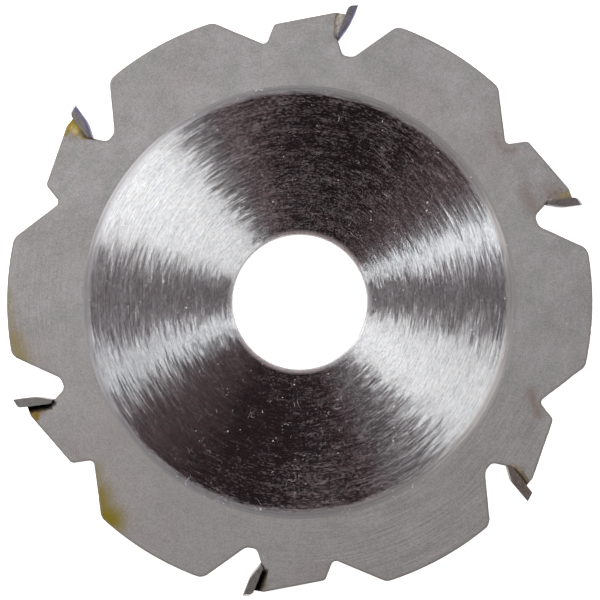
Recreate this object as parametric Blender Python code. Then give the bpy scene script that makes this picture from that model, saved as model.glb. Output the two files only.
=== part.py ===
"""Angle-grinder wood-carving disc: a steel disc with six brazed carbide tips.

World frame: metres, +Z up along the grinder's spindle. The origin is the centre
of the arbor bore, half way through the disc's thickness. The tools cut clockwise
when the disc is looked at from +Z.
"""

import math

import bmesh
import bpy
from mathutils import Matrix, Vector

MM = 0.001

# ---------------------------------------------------------------- dimensions, mm
CUTTING_RADIUS = 50.0        # outermost corner of every carbide tip
TOOTH_COUNT = 6
FIRST_TOOTH_ANGLE = 19.6     # degrees from +X, counter-clockwise seen from +Z

BORE_DIAMETER = 22.23        # 7/8 in arbor of 115 and 125 mm grinders
BORE_CHAMFER = 0.20
HUB_THICKNESS = 2.80         # brushed clamping land around the bore
HUB_LAND_RADIUS = 35.75
RIM_THICKNESS = 2.70         # blasted outer ring that carries the teeth

HUMP_RADIUS = 48.43          # chip-limiting hump between two teeth
HUMP_END_FILLET = 2.1

# gullet in front of the tip, in the tooth's own frame:
# x runs towards the cutting direction, y runs outwards from the disc's axis
GULLET_FLOOR_Y = 41.44
GULLET_RAMP_FOOT_X = 1.42
GULLET_RAMP_ANGLE = 46.0     # degrees, from the floor up to the next hump
GULLET_FOOT_FILLET = 1.70
GULLET_WALL_X = -0.38
GULLET_WALL_FILLET = 1.10

# land and back slope behind the tip, then the chip-relief notch
LAND_Y = 48.22
LAND_END_X = -2.80
LAND_FILLET = 1.2
BACK_SLOPE_ANGLE = 21.2      # degrees down from the tangent
NOTCH_WALL_X = -12.45        # where the back slope meets the notch wall
NOTCH_WALL_LEAN = 11.0       # degrees
NOTCH_SHOULDER_FILLET = 0.90
NOTCH_FLOOR_Y = 40.84
NOTCH_FLOOR_FILLET = 0.85
NOTCH_RAMP_ANGLE = 12.4      # degrees, from the notch floor up to the hump

# carbide tip: s runs down its rake face from the cutting edge, t runs back into it
TIP_EDGE_X = 0.66            # the cutting edge leads the tooth's radial line
TIP_HOOK_ANGLE = 12.0
TIP_KERF = 4.0
TIP_THICKNESS = 1.42
TIP_LENGTH = 6.50
TIP_BACK_LENGTH = 5.75
TIP_KNEE = 3.88              # the rake face is relieved below this depth
TIP_ROOT_SETBACK = 0.80
TIP_TOP_SLOPE = 0.459        # fall of the top face along t, 12 + 13 degrees
TIP_BEVEL_FALL = 0.87        # alternate top bevel over the kerf, 12 degrees
TIP_SIDE_SLOPE_S = 0.012     # radial side clearance
TIP_SIDE_SLOPE_T = 0.030     # tangential side clearance

BRAZE_THICKNESS = 0.12
BRAZE_GAP = 0.02             # parts the solids that the braze bonds
BRAZE_OVERHANG = 0.10        # the braze stands proud of each plate face

ARC_STEP = 9.0               # degrees per facet in the fillets
HUMP_STEP = 2.0


# ------------------------------------------------------------------ 2D helpers
def direction(degrees):
    a = math.radians(degrees)
    return Vector((math.cos(a), math.sin(a)))


def meet(p, d, q, e):
    """Where the line through p along d meets the line through q along e."""
    cross = d.x * e.y - d.y * e.x
    t = ((q.x - p.x) * e.y - (q.y - p.y) * e.x) / cross
    return p + d * t


def line_meets_circle(p, d, radius, outward=1):
    """The point on the line p + d t at the given radius, on d's forward side."""
    b = p.dot(d)
    return p + d * (-b + outward * math.sqrt(b * b - p.length_squared + radius * radius))


def filleted(before, corner, after, radius):
    """Arc points that round one corner of a polyline."""
    u = (before - corner).normalized()
    v = (after - corner).normalized()
    half = math.acos(max(-1.0, min(1.0, u.dot(v)))) / 2
    setback = radius / math.tan(half)
    start, end = corner + u * setback, corner + v * setback
    centre = corner + (u + v).normalized() * (radius / math.sin(half))
    a0 = math.atan2(start.y - centre.y, start.x - centre.x)
    a1 = math.atan2(end.y - centre.y, end.x - centre.x)
    sweep = (a1 - a0 + math.pi) % (2 * math.pi) - math.pi
    n = max(2, round(abs(math.degrees(sweep)) / ARC_STEP))
    return [
        centre + Vector((math.cos(a0 + sweep * i / n), math.sin(a0 + sweep * i / n))) * radius
        for i in range(n + 1)
    ]


def offset_polyline(points, distance):
    """The polyline moved to its left by distance, with mitred corners."""
    lines = []
    for a, b in zip(points, points[1:]):
        d = (b - a).normalized()
        n = Vector((-d.y, d.x))
        lines.append((a + n * distance, d))
    moved = [lines[0][0]]
    for (p, d), (q, e) in zip(lines, lines[1:]):
        moved.append(meet(p, d, q, e))
    d = (points[-1] - points[-2]).normalized()
    moved.append(points[-1] + Vector((-d.y, d.x)) * distance)
    return moved


# ------------------------------------------------------------------ tooth frame
HOOK = math.radians(TIP_HOOK_ANGLE)
EDGE = Vector((TIP_EDGE_X, math.sqrt(CUTTING_RADIUS**2 - TIP_EDGE_X**2)))
DOWN_RAKE = Vector((-math.sin(HOOK), -math.cos(HOOK)))
INTO_TIP = Vector((-math.cos(HOOK), math.sin(HOOK)))


def tip_point(s, t):
    return EDGE + DOWN_RAKE * s + INTO_TIP * t


def seat_line(distance):
    """The tip's back and foot, moved away from the carbide by distance, from the
    top of the tooth down to the root of the rake face."""
    contour = [
        tip_point(1.0, TIP_THICKNESS),
        tip_point(TIP_BACK_LENGTH, TIP_THICKNESS),
        tip_point(TIP_BACK_LENGTH + 0.45, TIP_THICKNESS - 0.15),
        tip_point(TIP_LENGTH, TIP_ROOT_SETBACK),
    ]
    # walking down the back, the tooth is on the right-hand side
    return offset_polyline(contour, -distance)


def tooth_rotation(index):
    return math.radians(FIRST_TOOTH_ANGLE + index * 360 / TOOTH_COUNT - 90)


def tooth_outline():
    """One sixth of the plate's outline in the tooth's frame, from the hump that
    leads the tooth, back through gullet, seat, land and notch to the next hump."""
    floor = Vector((GULLET_RAMP_FOOT_X, GULLET_FLOOR_Y))
    ramp = direction(GULLET_RAMP_ANGLE)
    hump_front = line_meets_circle(floor, ramp, HUMP_RADIUS)
    hump_front_next = Matrix.Rotation(math.radians(-2.5), 2) @ hump_front

    seat = seat_line(BRAZE_THICKNESS + 2 * BRAZE_GAP)
    along_back = (seat[0] - seat[1]).normalized()
    seat_top = meet(seat[1], along_back, Vector((0, LAND_Y)), Vector((1, 0)))
    lip = seat[-1]
    wall_foot = Vector((GULLET_WALL_X, GULLET_FLOOR_Y))

    land_end = Vector((LAND_END_X, LAND_Y))
    back = direction(180 + BACK_SLOPE_ANGLE)
    shoulder = land_end + back * ((LAND_END_X - NOTCH_WALL_X) / -back.x)
    wall = direction(270 - NOTCH_WALL_LEAN)
    notch_ramp = direction(180 - NOTCH_RAMP_ANGLE)
    notch = meet(shoulder, wall, Vector((-13.2, NOTCH_FLOOR_Y)), notch_ramp)
    hump_back = line_meets_circle(notch, notch_ramp, HUMP_RADIUS)
    hump_back_next = Matrix.Rotation(math.radians(2.5), 2) @ hump_back

    points = []
    points += filleted(hump_front_next, hump_front, floor, HUMP_END_FILLET)
    points += filleted(hump_front, floor, wall_foot, GULLET_FOOT_FILLET)[:-1]
    points += filleted(floor, wall_foot, lip, GULLET_WALL_FILLET)
    points += [lip] + seat[-2:0:-1] + [seat_top]
    points += filleted(seat_top, land_end, shoulder, LAND_FILLET)
    points += filleted(land_end, shoulder, notch, NOTCH_SHOULDER_FILLET)
    points += filleted(shoulder, notch, hump_back, NOTCH_FLOOR_FILLET)
    points += filleted(notch, hump_back, hump_back_next, HUMP_END_FILLET)

    # the hump's own arc, up to the next tooth's gullet ramp
    start = math.degrees(math.atan2(points[-1].y, points[-1].x))
    end = math.degrees(math.atan2(points[0].y, points[0].x)) + 360 / TOOTH_COUNT
    steps = round((end - start) / HUMP_STEP)
    for i in range(1, steps):
        points.append(direction(start + (end - start) * i / steps) * HUMP_RADIUS)
    return points


# --------------------------------------------------------------- mesh building
def new_object(name, bm, material, location=(0, 0, 0), parent=None):
    bmesh.ops.recalc_face_normals(bm, faces=bm.faces[:])
    mesh = bpy.data.meshes.new(name)
    bm.to_mesh(mesh)
    bm.free()
    mesh.materials.append(material)
    return link_object(name, mesh, location, parent)


def link_object(name, mesh, location=(0, 0, 0), parent=None):
    obj = bpy.data.objects.new(name, mesh)
    obj.location = location
    obj.parent = parent
    bpy.context.scene.collection.objects.link(obj)
    return obj


def extruded(outline, low, high):
    """A closed prism over a 2D outline given in mm."""
    bm = bmesh.new()
    verts = [bm.verts.new((p.x * MM, p.y * MM, low * MM)) for p in outline]
    base = bm.faces.new(verts)
    lifted = bmesh.ops.extrude_face_region(bm, geom=[base])
    moved = [v for v in lifted["geom"] if isinstance(v, bmesh.types.BMVert)]
    bmesh.ops.translate(bm, verts=moved, vec=(0, 0, (high - low) * MM))
    return bm


def turned(profile, segments):
    """A solid of revolution about Z from a closed (radius, z) profile in mm whose
    first and last points lie on the axis."""
    bm = bmesh.new()
    rings = []
    for r, z in profile:
        if r < 1e-6:
            rings.append([bm.verts.new((0, 0, z * MM))])
        else:
            rings.append([
                bm.verts.new((r * MM * math.cos(2 * math.pi * i / segments),
                              r * MM * math.sin(2 * math.pi * i / segments), z * MM))
                for i in range(segments)
            ])
    for a, b in zip(rings, rings[1:]):
        for i in range(segments):
            j = (i + 1) % segments
            if len(a) == 1:
                bm.faces.new((a[0], b[i], b[j]))
            elif len(b) == 1:
                bm.faces.new((a[i], b[0], a[j]))
            else:
                bm.faces.new((a[i], b[i], b[j], a[j]))
    return bm


def boolean(target, tool, operation):
    modifier = target.modifiers.new(operation.lower(), "BOOLEAN")
    modifier.operation = operation
    modifier.solver = "EXACT"
    modifier.object = tool
    tool.hide_render = True
    tool.display_type = "WIRE"


def material(name, colour, roughness, metallic):
    mat = bpy.data.materials.new(name)
    mat.use_nodes = True
    shader = mat.node_tree.nodes["Principled BSDF"]
    shader.inputs["Base Color"].default_value = (*colour, 1)
    shader.inputs["Roughness"].default_value = roughness
    shader.inputs["Metallic"].default_value = metallic
    mat.diffuse_color = (*colour, 1)
    return mat


# ----------------------------------------------------------------------- pieces
def build_disc_body(steel):
    """The plate: toothed rim, raised clamping land on both faces, chamfered bore."""
    outline = []
    for index in range(TOOTH_COUNT):
        turn = Matrix.Rotation(tooth_rotation(index), 2)
        outline += [turn @ p for p in tooth_outline()]
    body = new_object(
        "disc_body", extruded(outline, -RIM_THICKNESS / 2, RIM_THICKNESS / 2), steel)

    half = HUB_THICKNESS / 2
    land = new_object(
        "hub_land_tool",
        turned([(0, -half), (HUB_LAND_RADIUS, -half), (HUB_LAND_RADIUS, half), (0, half)], 144),
        steel)
    boolean(body, land, "UNION")

    r, c = BORE_DIAMETER / 2, BORE_CHAMFER
    over = 1.0
    bore = new_object(
        "bore_tool",
        turned([(0, -half - over), (r + c + over, -half - over), (r, -half + c),
                (r, half - c), (r + c + over, half + over), (0, half + over)], 120),
        steel)
    boolean(body, bore, "DIFFERENCE")

    body.data.shade_smooth()
    body.data.set_sharp_from_angle(angle=math.radians(25))
    return body


def tip_mesh(name, high_side, carbide):
    """A carbide tip with its top ground to a bevel: high_side is +1 where the
    longer corner is on the +Z side and -1 where it is on the -Z side."""
    half = TIP_KERF / 2
    fall = TIP_BEVEL_FALL / TIP_KERF
    a, b, c = TIP_SIDE_SLOPE_S, TIP_SIDE_SLOPE_T, TIP_TOP_SLOPE

    def top(t, side):
        """Depth s of the bevelled top face at thickness t on one side face."""
        if side == high_side:
            return (c + fall * b) * t / (1 - fall * a)
        return (c * t + fall * (2 * half - b * t)) / (1 + fall * a)

    foot = [
        (TIP_BACK_LENGTH, TIP_THICKNESS),
        (TIP_BACK_LENGTH + 0.45, TIP_THICKNESS - 0.15),
        (TIP_LENGTH, TIP_ROOT_SETBACK),
        (TIP_KNEE, 0.0),
    ]
    bm = bmesh.new()
    loops = []
    for side in (-1, 1):
        contour = [(top(0, side), 0.0), (top(TIP_THICKNESS, side), TIP_THICKNESS)] + foot
        loop = []
        for s, t in contour:
            p = tip_point(s, t) - EDGE
            z = side * (half - a * s - b * t)
            loop.append(bm.verts.new((p.x * MM, p.y * MM, z * MM)))
        bm.faces.new(loop)
        loops.append(loop)
    n = len(loops[0])
    for i in range(n):
        j = (i + 1) % n
        bm.faces.new((loops[0][i], loops[0][j], loops[1][j], loops[1][i]))
    bmesh.ops.recalc_face_normals(bm, faces=bm.faces[:])
    mesh = bpy.data.meshes.new(name)
    bm.to_mesh(mesh)
    bm.free()
    mesh.materials.append(carbide)
    return mesh


def braze_mesh(name, braze):
    """The thin braze joint that wraps the tip's back and foot inside its seat."""
    near = seat_line(BRAZE_GAP)
    far = seat_line(BRAZE_GAP + BRAZE_THICKNESS)

    def trimmed(line):
        along = (line[0] - line[1]).normalized()
        head = meet(line[1], along, Vector((0, LAND_Y)), Vector((1, 0)))
        return [head] + line[1:]

    outline = trimmed(near) + trimmed(far)[::-1]
    reach = RIM_THICKNESS / 2 + BRAZE_OVERHANG
    bm = extruded(outline, -reach, reach)
    bmesh.ops.recalc_face_normals(bm, faces=bm.faces[:])
    mesh = bpy.data.meshes.new(name)
    bm.to_mesh(mesh)
    bm.free()
    mesh.materials.append(braze)
    return mesh


def main():
    for obj in list(bpy.data.objects):
        bpy.data.objects.remove(obj, do_unlink=True)

    steel = material("steel_plate", (0.36, 0.34, 0.335), 0.42, 1.0)
    carbide = material("carbide", (0.17, 0.155, 0.16), 0.45, 0.9)
    braze = material("braze", (0.42, 0.34, 0.14), 0.38, 0.9)

    build_disc_body(steel)

    up = tip_mesh("carbide_tip_high_side_up", 1, carbide)
    down = tip_mesh("carbide_tip_high_side_down", -1, carbide)
    joint = braze_mesh("braze_joint", braze)
    for index in range(TOOTH_COUNT):
        station = bpy.data.objects.new(f"tooth_station_{index + 1}", None)
        station.rotation_euler.z = tooth_rotation(index)
        bpy.context.scene.collection.objects.link(station)
        link_object(
            f"carbide_tip_{index + 1}", up if index % 2 else down,
            (EDGE.x * MM, EDGE.y * MM, 0), station)
        link_object(f"braze_joint_{index + 1}", joint, parent=station)


main()
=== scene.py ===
"""Looks for the angle-grinder wood-carving disc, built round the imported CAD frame."""
import math

import bmesh
import bpy
from mathutils import Matrix, Vector, noise


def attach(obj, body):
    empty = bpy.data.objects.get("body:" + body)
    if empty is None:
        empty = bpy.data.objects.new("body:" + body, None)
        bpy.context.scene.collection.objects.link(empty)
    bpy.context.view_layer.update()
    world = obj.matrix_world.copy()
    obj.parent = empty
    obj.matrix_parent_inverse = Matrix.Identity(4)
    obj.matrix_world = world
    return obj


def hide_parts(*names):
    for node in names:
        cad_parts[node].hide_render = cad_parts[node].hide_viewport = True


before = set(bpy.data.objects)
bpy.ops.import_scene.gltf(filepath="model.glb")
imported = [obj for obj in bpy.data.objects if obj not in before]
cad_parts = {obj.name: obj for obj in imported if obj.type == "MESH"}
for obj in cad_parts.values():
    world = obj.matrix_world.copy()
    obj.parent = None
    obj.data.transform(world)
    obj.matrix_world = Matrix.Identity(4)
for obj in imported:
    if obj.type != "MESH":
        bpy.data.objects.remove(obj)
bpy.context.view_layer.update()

MM = 0.001
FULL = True

# ------------------------------------------------------------ dimensions, mm
CUTTING_RADIUS = 50.0
TOOTH_COUNT = 6
FIRST_TOOTH_ANGLE = 19.6
BORE_RADIUS = 22.23 / 2
BORE_CHAMFER = 0.20
HUB_THICKNESS = 2.80
HUB_LAND_RADIUS = 35.75
BRUSHED_RADIUS = 34.45
RIM_THICKNESS = 2.70
HUMP_RADIUS = 48.43
HUMP_END_FILLET = 2.1
GULLET_FLOOR_Y = 41.44
GULLET_RAMP_FOOT_X = 1.42
GULLET_RAMP_ANGLE = 46.0
GULLET_FOOT_FILLET = 1.70
GULLET_WALL_X = -0.38
GULLET_WALL_FILLET = 1.10
LAND_Y = 48.22
LAND_END_X = -2.80
LAND_FILLET = 1.2
BACK_SLOPE_ANGLE = 21.2
NOTCH_WALL_X = -12.45
NOTCH_WALL_LEAN = 11.0
NOTCH_SHOULDER_FILLET = 0.90
NOTCH_FLOOR_Y = 40.84
NOTCH_FLOOR_FILLET = 0.85
NOTCH_RAMP_ANGLE = 12.4
TIP_EDGE_X = 0.66
TIP_HOOK_ANGLE = 12.0
TIP_KERF = 4.0
TIP_THICKNESS = 1.42
TIP_LENGTH = 6.50
TIP_BACK_LENGTH = 5.75
TIP_KNEE = 3.88
TIP_ROOT_SETBACK = 0.80
TIP_TOP_SLOPE = 0.459
TIP_BEVEL_FALL = 0.87
TIP_SIDE_SLOPE_S = 0.012
TIP_SIDE_SLOPE_T = 0.030
SEAT_CLEARANCE = 0.16

EDGE_ROUND = 0.09            # the broken edge round the plate's outline
ARC_STEP = 4.0


# ------------------------------------------------------------- 2D construction
def direction(degrees):
    a = math.radians(degrees)
    return Vector((math.cos(a), math.sin(a)))


def meet(p, d, q, e):
    cross = d.x * e.y - d.y * e.x
    t = ((q.x - p.x) * e.y - (q.y - p.y) * e.x) / cross
    return p + d * t


def line_meets_circle(p, d, radius):
    b = p.dot(d)
    return p + d * (-b + math.sqrt(b * b - p.length_squared + radius * radius))


def filleted(before, corner, after, radius):
    u = (before - corner).normalized()
    v = (after - corner).normalized()
    half = math.acos(max(-1.0, min(1.0, u.dot(v)))) / 2
    setback = radius / math.tan(half)
    start, end = corner + u * setback, corner + v * setback
    centre = corner + (u + v).normalized() * (radius / math.sin(half))
    a0 = math.atan2(start.y - centre.y, start.x - centre.x)
    a1 = math.atan2(end.y - centre.y, end.x - centre.x)
    sweep = (a1 - a0 + math.pi) % (2 * math.pi) - math.pi
    n = max(3, round(abs(math.degrees(sweep)) / ARC_STEP))
    return [
        centre + Vector((math.cos(a0 + sweep * i / n), math.sin(a0 + sweep * i / n))) * radius
        for i in range(n + 1)
    ]


def offset_polyline(points, distance):
    lines = []
    for a, b in zip(points, points[1:]):
        d = (b - a).normalized()
        lines.append((a + Vector((-d.y, d.x)) * distance, d))
    moved = [lines[0][0]]
    for (p, d), (q, e) in zip(lines, lines[1:]):
        moved.append(meet(p, d, q, e))
    d = (points[-1] - points[-2]).normalized()
    moved.append(points[-1] + Vector((-d.y, d.x)) * distance)
    return moved


HOOK = math.radians(TIP_HOOK_ANGLE)
EDGE = Vector((TIP_EDGE_X, math.sqrt(CUTTING_RADIUS**2 - TIP_EDGE_X**2)))
DOWN_RAKE = Vector((-math.sin(HOOK), -math.cos(HOOK)))
INTO_TIP = Vector((-math.cos(HOOK), math.sin(HOOK)))


def tip_point(s, t):
    return EDGE + DOWN_RAKE * s + INTO_TIP * t


def seat_line(distance):
    return offset_polyline([
        tip_point(1.0, TIP_THICKNESS),
        tip_point(TIP_BACK_LENGTH, TIP_THICKNESS),
        tip_point(TIP_BACK_LENGTH + 0.45, TIP_THICKNESS - 0.15),
        tip_point(TIP_LENGTH, TIP_ROOT_SETBACK),
    ], -distance)


def tooth_rotation(index):
    return math.radians(FIRST_TOOTH_ANGLE + index * 360 / TOOTH_COUNT - 90)


def tooth_outline():
    """One sixth of the outline in the tooth's frame, and for each point how much
    the edge there may be nicked: 0 in the seat, 1 elsewhere."""
    floor = Vector((GULLET_RAMP_FOOT_X, GULLET_FLOOR_Y))
    ramp = direction(GULLET_RAMP_ANGLE)
    hump_front = line_meets_circle(floor, ramp, HUMP_RADIUS)
    hump_front_next = Matrix.Rotation(math.radians(-2.5), 2) @ hump_front
    seat = seat_line(SEAT_CLEARANCE)
    along_back = (seat[0] - seat[1]).normalized()
    seat_top = meet(seat[1], along_back, Vector((0, LAND_Y)), Vector((1, 0)))
    lip = seat[-1]
    wall_foot = Vector((GULLET_WALL_X, GULLET_FLOOR_Y))
    land_end = Vector((LAND_END_X, LAND_Y))
    back = direction(180 + BACK_SLOPE_ANGLE)
    shoulder = land_end + back * ((LAND_END_X - NOTCH_WALL_X) / -back.x)
    wall = direction(270 - NOTCH_WALL_LEAN)
    notch_ramp = direction(180 - NOTCH_RAMP_ANGLE)
    notch = meet(shoulder, wall, Vector((-13.2, NOTCH_FLOOR_Y)), notch_ramp)
    hump_back = line_meets_circle(notch, notch_ramp, HUMP_RADIUS)
    hump_back_next = Matrix.Rotation(math.radians(2.5), 2) @ hump_back

    runs = [
        (filleted(hump_front_next, hump_front, floor, HUMP_END_FILLET), 1),
        (filleted(hump_front, floor, wall_foot, GULLET_FOOT_FILLET)[:-1], 1),
        (filleted(floor, wall_foot, lip, GULLET_WALL_FILLET), 0.5),
        ([lip] + seat[-2:0:-1] + [seat_top], 0),
        (filleted(seat_top, land_end, shoulder, LAND_FILLET), 0.7),
        (filleted(land_end, shoulder, notch, NOTCH_SHOULDER_FILLET), 1),
        (filleted(shoulder, notch, hump_back, NOTCH_FLOOR_FILLET), 1),
        (filleted(notch, hump_back, hump_back_next, HUMP_END_FILLET), 1),
    ]
    points = [(p, w) for run, w in runs for p in run]
    start = math.degrees(math.atan2(points[-1][0].y, points[-1][0].x))
    end = math.degrees(math.atan2(points[0][0].y, points[0][0].x)) + 360 / TOOTH_COUNT
    steps = round((end - start) / 0.5)
    for i in range(1, steps):
        points.append((direction(start + (end - start) * i / steps) * HUMP_RADIUS, 1))
    return points


def plate_outline():
    """The whole outline, with long straight runs split up and the edge's small
    waviness and nicks added."""
    raw = []
    for index in range(TOOTH_COUNT):
        turn = Matrix.Rotation(tooth_rotation(index), 2)
        rough = 1.0 if index == 5 else 0.22      # the sixth tooth's edges are nicked
        raw += [(turn @ p, w * rough) for p, w in tooth_outline()]
    fine = []
    for (p, w), (q, v) in zip(raw, raw[1:] + raw[:1]):
        n = max(1, round((q - p).length / 0.28)) if w and v else 1
        fine += [(p.lerp(q, i / n), w + (v - w) * i / n) for i in range(n)]
    out = []
    count = len(fine)
    for i, (p, w) in enumerate(fine):
        d = (fine[(i + 1) % count][0] - fine[i - 1][0]).normalized()
        outward = Vector((d.y, -d.x))
        a = noise.noise(Vector((p.x * 1.25, p.y * 1.25, 3.1)))
        b = noise.noise(Vector((p.x * 0.35, p.y * 0.35, 9.7)))
        c = max(0.0, noise.noise(Vector((p.x * 0.8, p.y * 0.8, 21.0))) - 0.38)
        moved = p + outward * w * (0.055 * a + 0.03 * b - 0.22 * c)
        if moved.length > HUMP_RADIUS - 0.004:
            moved *= (HUMP_RADIUS - 0.004) / moved.length
        out.append(moved)
    return out


def inset(outline, distance):
    """The closed outline moved inwards (to its left) by distance."""
    out = []
    count = len(outline)
    for i, p in enumerate(outline):
        d0 = (p - outline[i - 1]).normalized()
        d1 = (outline[(i + 1) % count] - p).normalized()
        n0, n1 = Vector((-d0.y, d0.x)), Vector((-d1.y, d1.x))
        m = n0 + n1
        m = m / max(0.35, m.length_squared / 2)
        out.append(p + m * distance)
    return out


# ----------------------------------------------------------------- node helpers
class Nodes:
    """Short names for building a material's nodes. A value given to an input may
    be a number, a tuple or another node's output."""

    def __init__(self, name):
        self.mat = bpy.data.materials.new(name)
        self.mat.use_nodes = True
        self.tree = self.mat.node_tree
        self.shader = self.tree.nodes["Principled BSDF"]
        coords = self.tree.nodes.new("ShaderNodeTexCoord").outputs["Object"]
        self.p = self.vec("SCALE", coords, scale=1000.0)      # millimetres
        x, y, z = self.split(self.p)
        self.x, self.y, self.z = x, y, z
        flat = self.join(x, y, 0.0)
        self.r = self.vec("LENGTH", flat)
        self.out_dir = self.vec("NORMALIZE", flat)
        self.dx, self.dy, _ = self.split(self.out_dir)

    def put(self, socket, value):
        if isinstance(value, bpy.types.NodeSocket):
            self.tree.links.new(value, socket)
        elif value is not None:
            if hasattr(socket.default_value, "__len__") and not hasattr(value, "__len__"):
                value = [value] * len(socket.default_value)
            elif hasattr(socket.default_value, "__len__") and len(value) < len(socket.default_value):
                value = (*value, 1.0)
            socket.default_value = value

    def math(self, op, a, b=None, c=None, clamp=False):
        n = self.tree.nodes.new("ShaderNodeMath")
        n.operation, n.use_clamp = op, clamp
        for i, v in enumerate((a, b, c)):
            self.put(n.inputs[i], v)
        return n.outputs[0]

    def add(self, a, b):
        return self.math("ADD", a, b)

    def mul(self, a, b, clamp=False):
        return self.math("MULTIPLY", a, b, clamp=clamp)

    def vec(self, op, a, b=None, scale=None):
        n = self.tree.nodes.new("ShaderNodeVectorMath")
        n.operation = op
        self.put(n.inputs[0], a)
        if b is not None:
            self.put(n.inputs[1], b)
        if scale is not None:
            self.put(n.inputs["Scale"], scale)
        return n.outputs["Value" if op in ("LENGTH", "DISTANCE", "DOT_PRODUCT") else "Vector"]

    def split(self, v):
        n = self.tree.nodes.new("ShaderNodeSeparateXYZ")
        self.put(n.inputs[0], v)
        return n.outputs[0], n.outputs[1], n.outputs[2]

    def join(self, x, y, z):
        n = self.tree.nodes.new("ShaderNodeCombineXYZ")
        for i, v in enumerate((x, y, z)):
            self.put(n.inputs[i], v)
        return n.outputs[0]

    def noise(self, vector, scale=1.0, detail=2.0, rough=0.5, distortion=0.0):
        n = self.tree.nodes.new("ShaderNodeTexNoise")
        self.put(n.inputs["Vector"], vector)
        for key, v in (("Scale", scale), ("Detail", detail), ("Roughness", rough),
                       ("Distortion", distortion)):
            n.inputs[key].default_value = v
        return n.outputs["Fac"]

    def cells(self, vector, scale, randomness=1.0, feature="F1", dimensions="3D"):
        n = self.tree.nodes.new("ShaderNodeTexVoronoi")
        n.voronoi_dimensions, n.feature = dimensions, feature
        self.put(n.inputs["Vector"], vector)
        n.inputs["Scale"].default_value = scale
        n.inputs["Randomness"].default_value = randomness
        return n.outputs["Distance"], n.outputs["Color"]

    def ramp(self, value, low, high, to_low=0.0, to_high=1.0, smooth=True):
        n = self.tree.nodes.new("ShaderNodeMapRange")
        n.interpolation_type = "SMOOTHSTEP" if smooth else "LINEAR"
        for i, v in enumerate((value, low, high, to_low, to_high)):
            self.put(n.inputs[i], v)
        return n.outputs[0]

    def mix(self, fac, a, b, blend="MIX"):
        n = self.tree.nodes.new("ShaderNodeMix")
        n.data_type, n.blend_type = "RGBA", blend
        self.put(n.inputs[0], fac)
        self.put(n.inputs[6], a)
        self.put(n.inputs[7], b)
        return n.outputs[2]

    def blend(self, fac, a, b):
        n = self.tree.nodes.new("ShaderNodeMix")
        n.data_type = "FLOAT"
        self.put(n.inputs[0], fac)
        self.put(n.inputs[2], a)
        self.put(n.inputs[3], b)
        return n.outputs[0]

    def tint(self, colour, factor):
        """colour multiplied by one number."""
        grey = self.join(factor, factor, factor)
        return self.mix(1.0, colour, grey, "MULTIPLY")

    def ring(self, around, across, seed=0.0):
        """Coordinates that run along circles about the axis: around sets how fast
        they change along a circle, across how fast they change per mm of radius."""
        return self.join(self.mul(self.dx, around), self.mul(self.dy, around),
                         self.add(self.mul(self.r, across), self.add(self.mul(self.z, 0.7), seed)))

    def spot(self, x, y, radius, soft, wobble=None, squash=(1.0, 1.0), angle=0.0):
        """1 inside a blurred ellipse at (x, y) mm, 0 outside."""
        v = self.vec("SUBTRACT", self.join(self.x, self.y, 0.0), (x, y, 0.0))
        a = math.radians(angle)
        along = self.vec("DOT_PRODUCT", v, (math.cos(a) / squash[0], math.sin(a) / squash[0], 0))
        over = self.vec("DOT_PRODUCT", v, (-math.sin(a) / squash[1], math.cos(a) / squash[1], 0))
        d = self.vec("LENGTH", self.join(along, over, 0.0))
        if wobble is not None:
            d = self.add(d, wobble)
        return self.ramp(d, radius + soft, radius - soft)

    def stroke(self, a, b, half_width, soft, wobble=None):
        """1 inside a blurred capsule drawn from a to b (mm in the world's XY), 0 outside."""
        d = b - a
        rel = self.vec("SUBTRACT", self.join(self.x, self.y, 0.0), (a.x, a.y, 0.0))
        h = self.mul(self.vec("DOT_PRODUCT", rel, (d.x, d.y, 0.0)), 1.0 / d.length_squared, clamp=True)
        off = self.vec("SUBTRACT", rel, self.vec("SCALE", (d.x, d.y, 0.0), scale=h))
        away = self.vec("LENGTH", off)
        if wobble is not None:
            away = self.add(away, wobble)
        return self.ramp(away, half_width + soft, half_width - soft)

    def stops(self, value, colours):
        """A colour ramp with a stop for each (position, colour)."""
        n = self.tree.nodes.new("ShaderNodeValToRGB")
        ramp = n.color_ramp
        ramp.interpolation = "B_SPLINE" if len(colours) > 3 else "LINEAR"
        while len(ramp.elements) < len(colours):
            ramp.elements.new(0.5)
        for element, (at, colour) in zip(ramp.elements, colours):
            element.position = at
            element.color = (*colour, 1.0)
        self.put(n.inputs[0], value)
        return n.outputs[0]

    def bump(self, height, distance_mm, strength=1.0, normal=None):
        n = self.tree.nodes.new("ShaderNodeBump")
        n.inputs["Strength"].default_value = strength
        n.inputs["Distance"].default_value = distance_mm * MM
        self.put(n.inputs["Height"], height)
        if normal is not None:
            self.put(n.inputs["Normal"], normal)
        return n.outputs[0]

    def set(self, **inputs):
        for key, v in inputs.items():
            self.put(self.shader.inputs[key.replace("_", " ")], v)


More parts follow.
